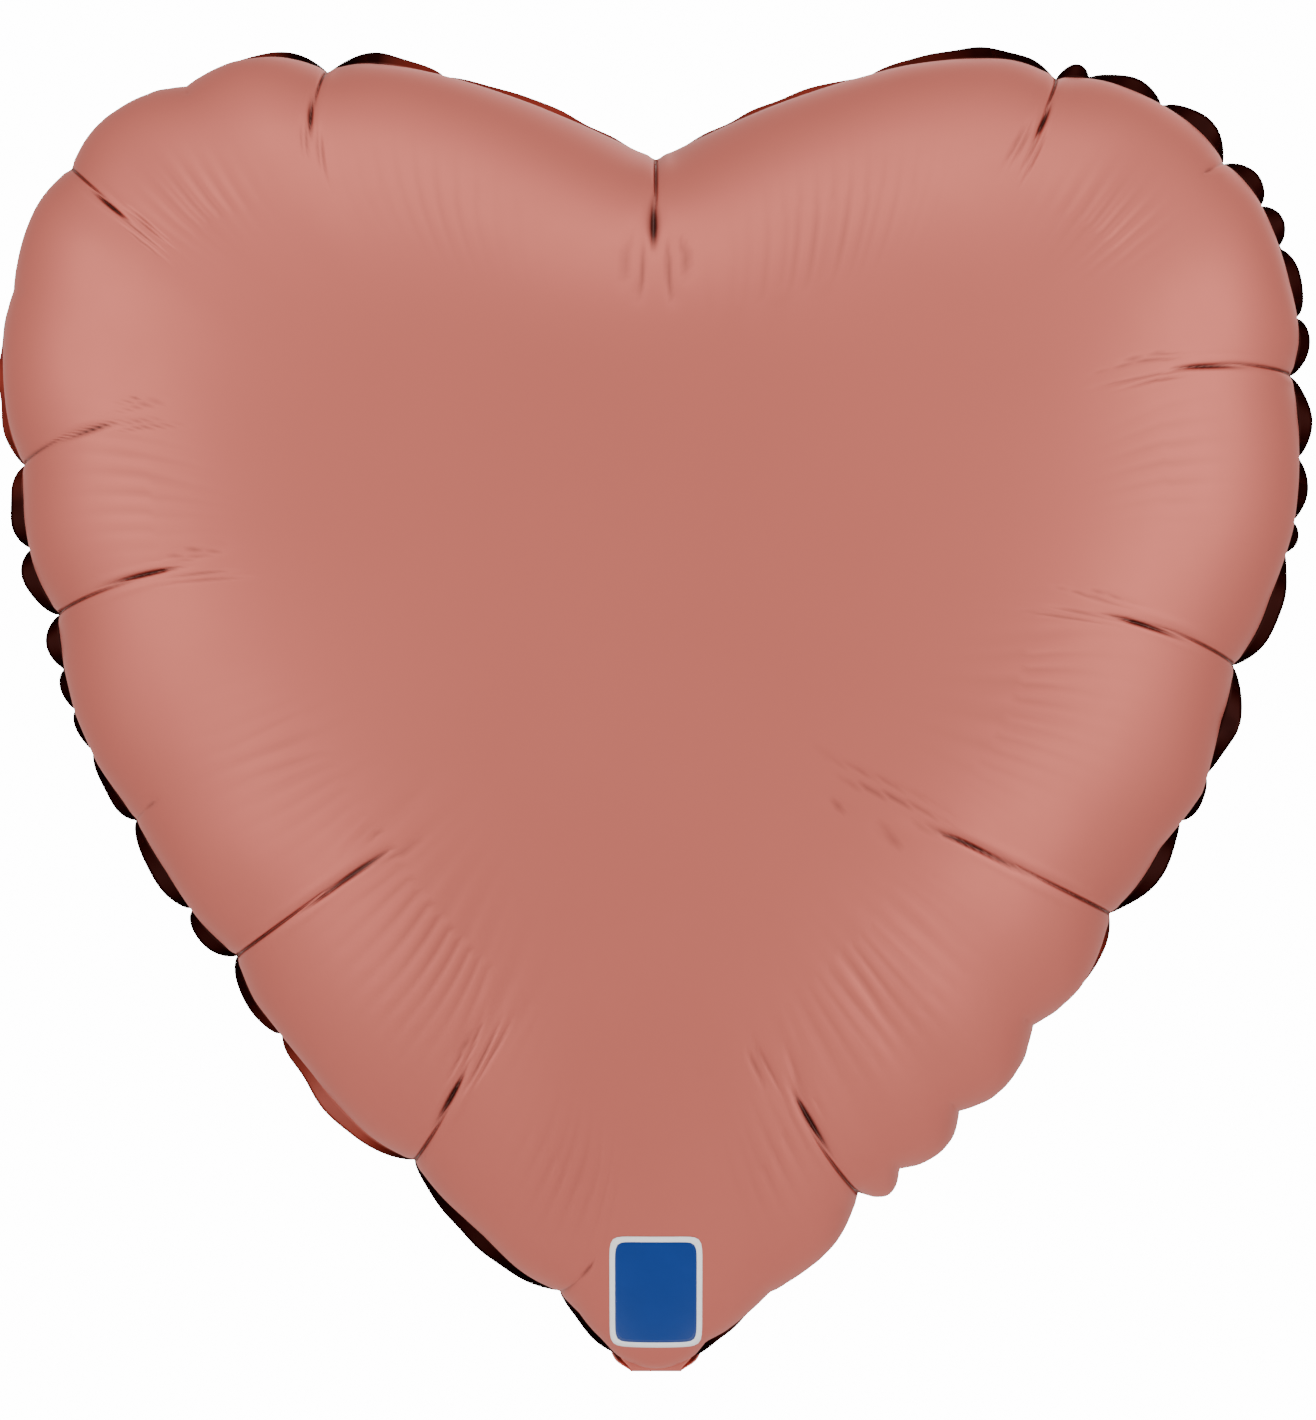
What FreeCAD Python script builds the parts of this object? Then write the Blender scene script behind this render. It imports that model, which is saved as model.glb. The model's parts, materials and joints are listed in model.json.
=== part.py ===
"""Heart-shaped foil balloon, 18 inch size, inflated, as an assembly of film pieces.

Two heart-cut foil panels are heat-sealed together round their rim. A tail is cut in one with them at
the heart's tip and is stored folded up behind the balloon. A lay-flat valve of two clear films runs from
the tail through the neck into the balloon, and lets gas in but not out.

Millimetres. +Z is up, +X is to the right seen from the front, and the front faces -Y. The origin is the
neck at the heart's lowest point, on the seam plane, where a ribbon is tied.
Films are drawn thicker than the real 0.03 to 0.05 mm, so that they mesh as closed solids.
"""

import math
import os

import FreeCAD
import Part
from FreeCAD import Vector

# Right half of the inflated outline, from the tip round to the notch, as (x, z).
TIP = (0, 0)
NOTCH = (0, 350)
FLANK_AND_LOBE = [(34, 20), (63, 46), (92, 71), (113, 97), (150, 149), (173, 198), (186, 240), (190, 283),
                  (186, 318), (171, 350), (145, 370), (107, 381), (74, 379), (36, 367)]

# Panels.
DOME_CENTRE_Z = 205        # the sections of a dome shrink towards this height
DOME_HEIGHT = 84           # half the inflated thickness
DOME_WALL = 0.5
NOTCH_FILL = 0.42          # how much of the notch has filled in at the top of a dome
NOTCH_SPREAD = math.radians(26)
TIP_TAPER = 0.42           # how far the top of a dome draws back from the tip
TIP_SPREAD = math.radians(38)
FLANGE_WIDTH = 4           # sealed margin outside the seam
PLY = 0.3                  # film thickness where it is flat
SEAL_HALF = 0.15           # half the thickness of the fused seal between the two plies
SECTION_WIDTHS = [1, 0.992, 0.965, 0.91, 0.83, 0.73, 0.61, 0.48, 0.34, 0.2, 0.08]
OUTLINE_STEPS = 16         # points along each half of a section
PROFILE_STEPS = 60         # steps of the integral that shapes the dome's profile

# Neck and tail. The tail's pieces are drawn hanging straight down and then folded to where they are stored.
NECK_WIDTH = 22
NECK_OVERLAP = 2           # how far the neck's stub runs up past the flange
PASSAGE_WIDTH = 16         # unsealed passage through the neck and the tail
FOLD_REACH = 2             # from the fold's axis up to the neck's edge, and down to the tail's root
HINGE_Z = -FOLD_REACH
ROOT_Z = HINGE_Z - FOLD_REACH
TAIL_WIDTH = 30
TAIL_FLARE = 14            # the tail widens from the neck's width over this length
TAIL_LENGTH = 62
TAIL_CORNER = 12
STORED_ANGLE = 134         # from hanging straight down to folded up behind, degrees
PORT_RADIUS = 4            # inflation hole through the tail's front ply
PORT_FROM_ROOT = 47

# Valve. Its back film is one film, which parts from the front film above the neck and is fixed in the neck.
VALVE_WIDTH = 13
VALVE_GAP_HALF = 0.03      # half the space between the two valve films
VALVE_TOP = 96
VALVE_PARTING = 20         # height where the back film becomes free to lift
TAIL_VALVE_LENGTH = 36
SIDE_WELD = 1.2
INK_WIDTH = 8
INK_LENGTH = 22
INK_FILM = 0.02

# Printed patch on the front panel, above the tip.
PATCH_CENTRE_Z = 24
PATCH_SIZE = (26.4, 33.4)
PATCH_CORNER = 6
PATCH_BORDER = 1.6
PATCH_NEAREST_Y = -2       # the patch's prism runs from here forwards
PRINT = 0.15

CUT = 1                    # how far a cutting tool runs past what it cuts
X_AXIS = Vector(1, 0, 0)
Y_AXIS = Vector(0, 1, 0)


def at(point, y=0.0):
    """A point of the outline plane, moved to depth y."""
    return Vector(point[0], y, point[1])


def closed_curve(right):
    """One curve from the notch down the left side, through the tip and up the right side to the notch."""
    left = [Vector(-p.x, p.y, p.z) for p in reversed(right)]
    curve = Part.BSplineCurve()
    curve.interpolate(Points=left + right[1:])
    return curve


RIM = closed_curve([at(p) for p in [TIP, *FLANK_AND_LOBE, NOTCH]])
RIM_LENGTH = RIM.length()


def rim_point(share, inset):
    """A point that share of the way from tip to notch, up the right side, moved inwards by inset."""
    if share >= 1:
        return Vector(0, 0, NOTCH[1] - inset)
    if share <= 0:
        return Vector(0, 0, TIP[1] + inset)
    place = RIM.parameterAtDistance(RIM_LENGTH * (1 + share) / 2, RIM.FirstParameter)
    tangent = RIM.tangent(place)[0]
    return RIM.value(place) + Vector(-tangent.z, 0, tangent.x) * inset


def right_half(inset):
    """Points up the right side, from the tip to the notch, inset from the silhouette."""
    return [rim_point(i / OUTLINE_STEPS, inset) for i in range(OUTLINE_STEPS + 1)]


def outline_wire(inset, y):
    """The heart at depth y, inset from the silhouette."""
    return Part.Wire([closed_curve([Vector(p.x, y, p.z) for p in right_half(inset)]).toShape()])


def profile_height(width):
    """How high a flat-cut film stands under pressure where its half width is this share of the rim's."""
    start = math.asin(width * width)
    step = (math.pi / 2 - start) / PROFILE_STEPS
    return sum(math.sqrt(math.sin(start + (i + 0.5) * step)) for i in range(PROFILE_STEPS)) * step / 2


def dome(inset, height, base_y, side):
    """Half a pillow, solid: heart sections that shrink and round off outwards. side is -1 for the front."""
    wires = []
    rim = right_half(inset)
    for width in SECTION_WIDTHS:
        share = profile_height(width) / profile_height(0)
        y = side * (base_y + height * share)
        points = []
        for p in rim:
            up = p.z - DOME_CENTRE_Z
            off_notch = math.atan2(p.x, up) / NOTCH_SPREAD
            off_tip = math.atan2(p.x, -up) / TIP_SPREAD
            fill = NOTCH_FILL * (1 - width) * math.exp(-off_notch * off_notch)
            taper = TIP_TAPER * share * math.exp(-off_tip * off_tip)
            scale = width * (1 + fill - taper)
            points.append(Vector(p.x * scale, y, DOME_CENTRE_Z + up * scale))
        wires.append(Part.Wire([closed_curve(points).toShape()]))
    return Part.makeLoft(wires, True, False)


def slab(outer, y_from, y_to):
    """A flat plate from a closed wire at y_from, as thick as y_to - y_from."""
    return Part.Face(outer).extrude(Vector(0, y_to - y_from, 0))


def box(width, depths, z_from, z_to, x=0.0):
    """A block centred on x, between two depths and two heights."""
    y_from, y_to = depths
    return Part.makeBox(width, y_to - y_from, z_to - z_from, Vector(x - width / 2, y_from, z_from))


def depths_of(side, near, far):
    """The two depths on one side of the seam plane, lowest first."""
    return tuple(sorted((side * near, side * far)))


def ply_depths(side):
    """The flat film's two faces, against the seal."""
    return depths_of(side, SEAL_HALF, SEAL_HALF + PLY)


def edges_through(plate, below=math.inf):
    """A plate's corner edges, which run along its thickness, below a height."""
    corners = [e for e in plate.Edges if abs(e.tangentAt(e.FirstParameter).y) > 0.99]
    return [e for e in corners if e.CenterOfMass.z < below]


def panel(side):
    """One foil panel: a thin dome, its sealed flange, and the neck's stub at the tip."""
    shell = dome(FLANGE_WIDTH, DOME_HEIGHT, SEAL_HALF, side)
    shell = shell.cut(dome(FLANGE_WIDTH + DOME_WALL, DOME_HEIGHT - DOME_WALL, SEAL_HALF, side))
    y_low, y_high = ply_depths(side)
    flange = slab(outline_wire(0, y_low), y_low, y_high)
    stub = box(NECK_WIDTH, (y_low, y_high), 0, FLANGE_WIDTH + NECK_OVERLAP)
    inside = slab(outline_wire(FLANGE_WIDTH + DOME_WALL / 2, y_low - CUT), y_low - CUT, y_high + CUT)
    return shell.fuse(flange.fuse(stub).cut(inside)).removeSplitter()


def rim_seal():
    """The fused seal between the two flanges, open at the neck."""
    band = slab(outline_wire(0, -SEAL_HALF), -SEAL_HALF, SEAL_HALF)
    stub = box(NECK_WIDTH, (-SEAL_HALF, SEAL_HALF), 0, FLANGE_WIDTH + NECK_OVERLAP)
    inner = slab(outline_wire(FLANGE_WIDTH, -CUT), -CUT, CUT)
    passage = box(PASSAGE_WIDTH, (-CUT, CUT), -CUT, FLANGE_WIDTH + NECK_OVERLAP + CUT)
    return band.fuse(stub).cut(inner).cut(passage).removeSplitter()


def patch_prism(width, height, corner):
    """A rounded block that runs forwards through the front panel."""
    low, high = PATCH_CENTRE_Z - height / 2, PATCH_CENTRE_Z + height / 2
    block = box(width, (-DOME_HEIGHT, PATCH_NEAREST_Y), low, high)
    return block.makeFillet(corner, edges_through(block))


def printed_patch():
    """(border, face): two areas of ink on the front panel's outer surface."""
    ink = dome(FLANGE_WIDTH - PRINT, DOME_HEIGHT + PRINT, SEAL_HALF, -1)
    ink = ink.cut(dome(FLANGE_WIDTH, DOME_HEIGHT, SEAL_HALF, -1))
    width, height = PATCH_SIZE
    rim = 2 * PATCH_BORDER
    whole = patch_prism(width, height, PATCH_CORNER)
    inner = patch_prism(width - rim, height - rim, PATCH_CORNER - PATCH_BORDER)
    return ink.common(whole.cut(inner)), ink.common(inner)


def valve_film(side, z_from, z_to):
    """One clear valve film, which fills the space between the valve's gap and the foil in the neck."""
    return box(VALVE_WIDTH, depths_of(side, VALVE_GAP_HALF, SEAL_HALF), z_from, z_to)


def side_welds(z_from, z_to):
    """The two welds that join the valve films down their long edges."""
    offset = (VALVE_WIDTH - SIDE_WELD) / 2
    depths = (-VALVE_GAP_HALF, VALVE_GAP_HALF)
    return Part.makeCompound([box(SIDE_WELD, depths, z_from, z_to, x) for x in (-offset, offset)])


def release_ink():
    """The printed strip on the front film that keeps the neck's heat seal from closing the valve."""
    depths = (-VALVE_GAP_HALF, INK_FILM - VALVE_GAP_HALF)
    return box(INK_WIDTH, depths, 0, INK_LENGTH)


def folded(shape):
    """A tail piece turned from hanging straight down to where the tail is stored."""
    shape = shape.copy()
    shape.rotate(Vector(0, 0, HINGE_Z), X_AXIS, STORED_ANGLE)
    return shape


def tail_plate(depths):
    """The tail's outline between two depths, with its two lower corners rounded."""
    wide = TAIL_WIDTH / 2
    right = [(NECK_WIDTH / 2, ROOT_Z), (wide, ROOT_Z - TAIL_FLARE), (wide, ROOT_Z - TAIL_LENGTH)]
    left = [(-x, z) for x, z in reversed(right)]
    corners = [at(p, depths[0]) for p in right + left]
    plate = slab(Part.makePolygon([*corners, corners[0]]), *depths)
    return plate.makeFillet(TAIL_CORNER, edges_through(plate, below=ROOT_Z - TAIL_LENGTH / 2))


def tail_ply(side):
    """One ply of the tail. The front ply has the inflation hole."""
    ply = tail_plate(ply_depths(side))
    if side < 0:
        centre = Vector(0, -CUT, ROOT_Z - PORT_FROM_ROOT)
        ply = ply.cut(Part.makeCylinder(PORT_RADIUS, 2 * CUT, centre, Y_AXIS))
    return ply


def tail_seals():
    """The heat seals down the tail's two long edges, joined round its end."""
    passage = box(PASSAGE_WIDTH, (-CUT, CUT), ROOT_Z - TAIL_LENGTH + FLANGE_WIDTH, ROOT_Z + CUT)
    return tail_plate((-SEAL_HALF, SEAL_HALF)).cut(passage)


def neck_fold():
    """Both plies where they bend from the neck's edge round to the tail's root."""
    bend_y = FOLD_REACH / math.tan(math.radians(STORED_ANGLE / 2))
    half = NECK_WIDTH / 2
    rolls = []
    for side in (-1, 1):
        low, high = ply_depths(side)
        corners = [Vector(x, y, 0) for x, y in [(-half, low), (half, low), (half, high), (-half, high)]]
        section = Part.Face(Part.makePolygon([*corners, corners[0]]))
        rolls.append(section.revolve(Vector(0, bend_y, 0), X_AXIS, STORED_ANGLE))
    return Part.makeCompound(rolls)


def export(name, shape):
    """Writes one node, and says its volume and whether it is sound."""
    if not shape.isValid():
        print("NOT VALID", name)
    shape.exportStep(f"parts/{name}.step")
    print(f"{name:24s} {len(shape.Solids)} solids {shape.Volume:12.2f} mm3")


def main():
    os.makedirs("parts", exist_ok=True)
    export("front_panel", panel(-1))
    export("back_panel", panel(1))
    export("rim_seal", rim_seal())
    border, face = printed_patch()
    export("patch_border", border)
    export("patch_face", face)
    export("valve_front_film", valve_film(-1, 0, VALVE_TOP))
    export("valve_back_root", valve_film(1, 0, VALVE_PARTING))
    export("valve_back_film", valve_film(1, VALVE_PARTING, VALVE_TOP))
    export("valve_side_welds", side_welds(0, VALVE_TOP))
    export("valve_release_ink", release_ink())
    export("neck_fold", neck_fold())
    export("tail_front_ply", folded(tail_ply(-1)))
    export("tail_back_ply", folded(tail_ply(1)))
    export("tail_seals", folded(tail_seals()))
    export("tail_valve_front_film", folded(valve_film(-1, ROOT_Z - TAIL_VALVE_LENGTH, ROOT_Z)))
    export("tail_valve_back_film", folded(valve_film(1, ROOT_Z - TAIL_VALVE_LENGTH, ROOT_Z)))


main()
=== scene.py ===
"""Looks of the heart-shaped foil balloon: its gathered skins, sealed margin, print and folded tail."""

import json
import math

import bpy
import numpy as np
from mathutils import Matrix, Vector
from mathutils.bvhtree import BVHTree


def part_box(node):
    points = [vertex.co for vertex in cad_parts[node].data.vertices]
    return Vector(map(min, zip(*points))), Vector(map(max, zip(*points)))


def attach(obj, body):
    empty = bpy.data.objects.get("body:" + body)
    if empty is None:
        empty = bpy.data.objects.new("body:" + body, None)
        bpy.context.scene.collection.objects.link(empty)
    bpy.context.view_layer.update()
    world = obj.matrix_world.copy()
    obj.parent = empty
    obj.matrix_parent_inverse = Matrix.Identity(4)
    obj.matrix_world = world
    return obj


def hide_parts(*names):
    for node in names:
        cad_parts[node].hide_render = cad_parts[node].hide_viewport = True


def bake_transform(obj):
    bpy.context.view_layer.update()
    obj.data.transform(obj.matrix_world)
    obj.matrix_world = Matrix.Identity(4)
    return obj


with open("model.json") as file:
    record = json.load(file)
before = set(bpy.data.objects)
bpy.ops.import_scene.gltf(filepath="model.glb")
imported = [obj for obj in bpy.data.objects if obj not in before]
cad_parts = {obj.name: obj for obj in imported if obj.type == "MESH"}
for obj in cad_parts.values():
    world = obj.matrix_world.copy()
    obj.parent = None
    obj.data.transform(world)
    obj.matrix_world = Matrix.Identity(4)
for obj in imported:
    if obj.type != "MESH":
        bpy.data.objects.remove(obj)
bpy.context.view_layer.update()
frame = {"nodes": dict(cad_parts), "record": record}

MM = 0.001

# The rim's outline as the CAD has it: the right half from the tip up to the notch, (x, z) in millimetres.
OUTLINE = [(0, 0), (34, 20), (63, 46), (92, 71), (113, 97), (150, 149), (173, 198), (186, 240), (190, 283),
           (186, 318), (171, 350), (145, 370), (107, 381), (74, 379), (36, 367), (0, 350)]
MIDDLE = (0, 212)          # where the film's lines from the rim meet
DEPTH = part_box("back_panel")[1].y / MM
COLUMNS = 1664             # points along the seam, a multiple of 8
COLUMN_CROWD = 3.6         # how much closer together they are beside a gather this deep
COLUMN_CROWD_DEPTH = 1.5
COLUMN_CROWD_HALF = 3.5
COLUMN_STEPS = 20000       # steps round the rim for working out where they start
ROWS = 60                  # rows from the seam to the middle
ROW_POWER = 1.8            # packs rows towards the seam
HALVE_AT = (30, 40, 50)    # rows where every second column ends
HANDLE_SHARE = 0.35        # how far a column runs straight in before it turns to the middle
HANDLE_CROSSING = 0.8      # the most of the way to the mirror plane that it runs straight
HANDLE_SMOOTHING = 30
RELAX_FROM = 40            # points further in than this are evened out
RELAX_ROUNDS = 100
RELAX_SHARE = 0.9
SOLVER_ROUNDS = 1500       # the fullness is solved in at most this many rounds, until this small an error
SOLVER_ERROR = 1e-10
SKIN_SEED = 11

# Gathers, where the seam is pulled in and a crease starts: (x, z) on the rim, how far the crease
# runs in, its depth and half width, how deep the cusp in the seam is, all in millimetres,
# and how far the crease leans on its way in (per millimetre, positive towards later places on the rim).
GATHERS = [
    (0, 350, 31, 2.5, 1.0, 0.5, 0.0),
    (-95, 376, 26, 2, 0.9, 4.5, 0.30), (-136, 371, 5, 0.4, 1.2, 2.6, 0.0),
    (-164, 343, 30, 1.7, 0.9, 3.2, 0.10), (-184, 311, 5, 0.3, 1.2, 1.2, 0.0),
    (-184, 261, 40, 1.5, 0.9, 2.6, -0.42), (-175, 217, 48, 1.9, 0.9, 3.0, -0.15),
    (-151, 158, 11, 0.8, 1.0, 0.9, -0.2), (-124, 117, 66, 2, 0.9, 3.2, 0.02),
    (-70, 60, 38, 2, 0.95, 3.6, -0.08), (-28, 22, 18, 0.95, 0.9, 3.2, 0.3),
    (33, 22, 9, 0.2, 1.2, 1.6, 0.0), (60, 49, 42, 2, 0.9, 6.2, 0.0), (71, 57, 5, 0.2, 1.2, 3.8, 0.0),
    (90, 72, 6, 0.4, 1.4, 5.0, 0.0), (112, 97, 6, 0.4, 1.4, 4.0, 0.0), (133, 130, 74, 2.1, 0.9, 3.2, -0.14),
    (170, 202, 52, 1.8, 0.9, 3.0, 0.15), (188, 287, 43, 1.9, 0.9, 3.0, 0.21),
    (165, 349, 10, 0.9, 1.0, 2.4, 0.25), (116, 374, 25, 2, 0.9, 3.4, 0.15),
]
LOBE_REACH = 18            # the cusp's flanks are no longer than this along the seam
PUFF = 1.0                 # the film stands this much higher half way between two gathers
PUFF_GAP = 40              # where they are at least this far apart
PUFF_RISE = 8              # it does so over this length from the seam
PUFF_REACH = 45            # and dies away this far in
CREASE_RISE = 2.0          # a crease gets its depth over this length from the seam
LINE_LEVEL = 0.85          # a crease's outer line: its level, and the share of the length where it ends
LINE_ENDS = 0.62
STROKE_AT = 0.66           # its inner stroke: the share of the length where it is deepest, and its spread
STROKE_SPREAD = 0.24
LIP_LEVEL = 0.10           # the raised lips beside it
JOG = 1.3                  # how far at most a crease's inner stroke lies beside its outer line
LONG_CREASE = 20           # creases longer than this have a jog, and fine strokes round their inner end
SPLAY_STEP = 1.35          # the fine strokes: distance apart, extra lean each, half width and share of depth
SPLAY_LEAN = 0.025
SPLAY_HALF = 0.6
SPLAY_DEPTH = 0.24
FULL_SHADE_DEPTH = 1.8           # creases at least this deep get the full painted shade inside
FOLD_STARTS = 0.12         # how deep in a fold the painted shade starts, and how fast it grows
FOLD_CONTRAST = 1.7
WAVE_PAINTED_SHADE = 0.8           # painted shade in the fine waves' troughs, per millimetre of height

# Fine waves left by the stretched film: nearest (x, z) on the rim, distance inside it, half length along
# the rim, half length inwards, wavelength and height, in millimetres.
WAVES = [
    (163, 172, 58, 28, 17, 6.4, 0.26), (-104, 84, 56, 34, 19, 6.6, 0.30), (95, 75, 50, 30, 16, 6.2, 0.22),
    (44, 370, 44, 26, 14, 5.8, 0.30), (-187, 252, 38, 18, 15, 6.6, 0.22), (-60, 374, 40, 24, 13, 7.0, 0.14),
    (-150, 150, 50, 24, 15, 7.0, 0.20), (150, 360, 40, 22, 12, 7.2, 0.14), (187, 262, 42, 18, 14, 6.8, 0.18),
    (-150, 362, 38, 18, 12, 6.6, 0.16), (-40, 30, 34, 16, 12, 5.8, 0.16), (50, 38, 34, 14, 12, 5.8, 0.16),
]

# The sealed margin outside the seam: (x, z) on the rim, how wide it shows from the front in
# millimetres, and how much painted shade it gets there, from 0 to 1, standing in for the shadow on its turned
# edge.
MARGIN_WIDTH = 6.0
MARGIN_ROWS = 6
MARGIN_THICKNESS = 0.25
MARGIN_INSET = 0.92        # how much of what shows of it the seam makes room for
MARGIN_ARCH = 0.55         # how square its lobes are: the power of a half sine
MARGIN_UNEVEN = 0.12
MARGIN_CURL = 0.25
MARGIN_SHOWS = [
    (0, 350, 0.4, 0.2), (-30, 364, 2.0, 0.2), (-66, 378, 3.0, 0.35), (-80, 380, 3.6, 1), (-105, 380, 2.6, 1),
    (-122, 376, 0.8, 0.2), (-150, 362, 0.7, 0.1), (-184, 305, 0.9, 0.1), (-189, 285, 2.2, 0.2),
    (-188, 268, 3.4, 0.6), (-186, 250, 5.4, 1), (-178, 228, 5.0, 1), (-172, 208, 4.8, 1), (-166, 190, 2.2, 1),
    (-160, 175, 2.2, 1), (-155, 165, 3.6, 1), (-144, 142, 5.2, 1), (-130, 122, 4.6, 1), (-118, 105, 3.4, 1),
    (-102, 84, 4.8, 0.5), (-85, 68, 4.0, 0.4), (-70, 58, 3.2, 1), (-50, 38, 4.2, 1), (-28, 20, 2.6, 1),
    (-23, 15, 3.6, 1), (-16, 8, 2.4, 1), (-11, 4, 0.6, 1), (-4, 1, 0.2, 1), (4, 1, 0.2, 1), (11, 4, 0.6, 1),
    (15, 7, 2.6, 1), (20, 10, 1.6, 0.8), (30, 18, 0.8, 0.4), (50, 36, 0.5, 0.2),
    (120, 112, 0.5, 0.2), (135, 134, 3.6, 1), (148, 149, 5.2, 1), (158, 166, 1.8, 1), (166, 186, 5.6, 1),
    (172, 206, 5.0, 1), (179, 222, 4.8, 1), (185, 242, 3.0, 1), (188, 256, 3.4, 1), (190, 275, 4.8, 1),
    (189, 296, 3.6, 1), (186, 314, 4.8, 1), (181, 333, 4.6, 1), (170, 348, 4.6, 1), (156, 360, 5.0, 1),
    (136, 372, 4.4, 1), (115, 380, 3.8, 1), (92, 381, 3.6, 1), (72, 378, 2.8, 0.7), (60, 376, 2.8, 0.3),
    (30, 364, 1.6, 0.2),
]
# Where the margin is pinched, besides at the gathers.
PINCHES = [
    (-181, 237), (-172, 202), (-167, 191), (-162, 179), (-138, 130), (-110, 95), (148, 160),
    (160, 171), (182, 236), (184, 245), (187, 263), (187, 304), (183, 325), (177, 337), (147, 366),
    (126, 375), (-60, 377), (60, 377),
]

# The printed patch.
PRINT_CORNER = 6.0
CORNER_POWER = 2.4         # how much squarer a corner gets as it gets smaller
PRINT_COLUMNS = 96
PRINT_ROWS = 16
PRINT_THICKNESS = 0.06
BORDER_LIFT = 0.10         # off the skin, to the middle of the ink
FACE_LIFT = 0.18
BORDER_WIDTH = 1.6

# The neck and the tail, which is folded up behind the tip.
NECK_WIDTH = 22
NECK_TOP = 4.5
TAIL_WIDTH = 30
TAIL_FLARE = 14
TAIL_LENGTH = 62
TAIL_CORNER = 12
TAIL_COLUMNS = 25
NECK_ROWS = 7
BEND_ROWS = 15
TAIL_ROWS = 70
PLY_OFFSET = 0.13                         # from the middle plane to each ply
PLY_BULGE = 0.22                          # how much further off it is in the middle of the tail
PLY_WRINKLE = 0.10
PLY_FREE = 8                              # it gets there over this length from the root
WRINKLE_LENGTH = 3.1                      # of the short waves, per radian
WRINKLE_DRIFT = 9
TAIL_SEED = 21
HOLE_CUT = 0.003                          # the cutter's depth, in metres
TAIL_TURN = math.radians(134)             # from hanging straight down to folded up
FOLD_REACH = 2.0                          # from the fold's axis to the neck and to the tail's root
BEND_RADIUS = FOLD_REACH / math.tan(TAIL_TURN / 2)
TAIL_SLOPE = 1.03                         # the back skin stays this far in, per height, to clear the tail
TAIL_GAP = 0.2
TAIL_PRESS = 6                            # how sharply the skin turns into that plane
FOLD_GATHER = 3.8                         # how much the neck's half width is gathered in at the fold
FOLD_GATHER_REACH = 3.2
FILM_THICKNESS = 0.06

# Colours, light and camera. The light levels go from straight ahead of the front to straight behind.
FOIL_COLOUR = (0.52, 0.126, 0.096)
EDGE_TINT = (0.8, 0.5, 0.45, 1)
FOLD_PAINTED_SHADE = (0.060, 0.018, 0.014)         # painted shade deep in a crease, standing in for the shadow there
MARGIN_PAINTED_SHADE = (0.024, 0.006, 0.005)       # painted shade on the margin where it is turned, standing in for shadow
# The margin's edge tint, much darker than the foil's, is part of its painted shade.
MARGIN_EDGE_TINT = (0.1, 0.04, 0.03, 1)
WHITE_INK = (0.92, 0.92, 0.92)
BLUE_INK = (0.002, 0.033, 0.2)
RELEASE_INK = (0.75, 0.72, 0.66)
RAMP_ENDS = (0.3, 0.7)                    # where in a noise its two colours are reached
SURROUND_LEVELS = [(0.0, 0.80), (0.3, 0.86), (0.48, 1.0), (0.7, 0.72), (1.0, 0.5)]
SURROUND_STRENGTH = 1.62
BACKDROP_STRENGTH = 15.0

# Soft boxes: name, place, width, height and power.
SOFT_BOXES = [
    ("left_box", (-1.3, -0.5, 0.5), 1.0, 1.2, 3.0), ("right_box", (1.3, -0.5, 0.45), 1.0, 1.2, 3.7),
    ("top_box", (0, -0.5, 1.6), 1.6, 0.9, 3.4), ("low_left_box", (-0.9, -0.6, -0.45), 0.8, 0.8, 1.4),
    ("low_right_box", (0.9, -0.6, -0.45), 0.8, 0.8, 1.7), ("back_box", (0.5, 1.6, 1.0), 1.4, 1.2, 4.0),
]
LIGHT_TARGET = (0, 0, 0.2)
FLOOR_Z = -0.6
CAMERA_DISTANCE = 2.6
FRAME_HEIGHT = 0.4104
FRAME_MIDDLE = (0.0006, 0.1902)


# ---------------------------------------------------------------- plan of the heart

def through(points, steps):
    """A smooth curve through the points, with steps samples on each span."""
    p = np.array(points, float)
    slope = np.gradient(p, axis=0)
    u = np.linspace(0, 1, steps, endpoint=False)[:, None]
    spans = [
        (1 + 2 * u) * (1 - u) ** 2 * p[i] + u * (1 - u) ** 2 * slope[i]
        + u * u * (3 - 2 * u) * p[i + 1] + u * u * (u - 1) * slope[i + 1]
        for i in range(len(p) - 1)
    ]
    return np.vstack([*spans, p[-1:]])


def smoothed_round(values, reach):
    """Rows of values round a closed loop, averaged over about reach rows on each side."""
    offsets = np.arange(-3 * reach, 3 * reach + 1)
    weights = np.exp(-0.5 * (offsets / reach) ** 2)
    weights /= weights.sum()
    return sum(w * np.roll(values, -o, axis=0) for w, o in zip(weights, offsets))


class Rim:
    """The closed outline, from the notch down the left side, through the tip and up the right side."""

    SAMPLES = 6000
    SPAN_STEPS = 200
    NORMAL_REACH = 45

    def __init__(self):
        left = [(-x, z) for x, z in reversed(OUTLINE)]
        line = through(left + OUTLINE[1:], self.SPAN_STEPS)
        run = np.r_[0, np.cumsum(np.linalg.norm(np.diff(line, axis=0), axis=1))]
        self.length = run[-1]
        at = np.linspace(0, self.length, self.SAMPLES, endpoint=False)
        self.points = np.c_[np.interp(at, run, line[:, 0]), np.interp(at, run, line[:, 1])]
        along = np.roll(self.points, -1, 0) - np.roll(self.points, 1, 0)
        inward = smoothed_round(np.c_[-along[:, 1], along[:, 0]], self.NORMAL_REACH)
        self.inward = inward / np.linalg.norm(inward, axis=1)[:, None]

    def share_of(self, x, z):
        """The place on the rim nearest to a point, from 0 to 1."""
        return np.argmin(np.linalg.norm(self.points - (x, z), axis=1)) / self.SAMPLES

    def read(self, values, shares):
        """Values held per sample, read at shares of the way round."""
        at = np.asarray(shares) * self.SAMPLES
        grid = np.arange(self.SAMPLES + 1)
        return np.stack([np.interp(at, grid, np.r_[v, v[0]]) for v in values.T], axis=-1)


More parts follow.
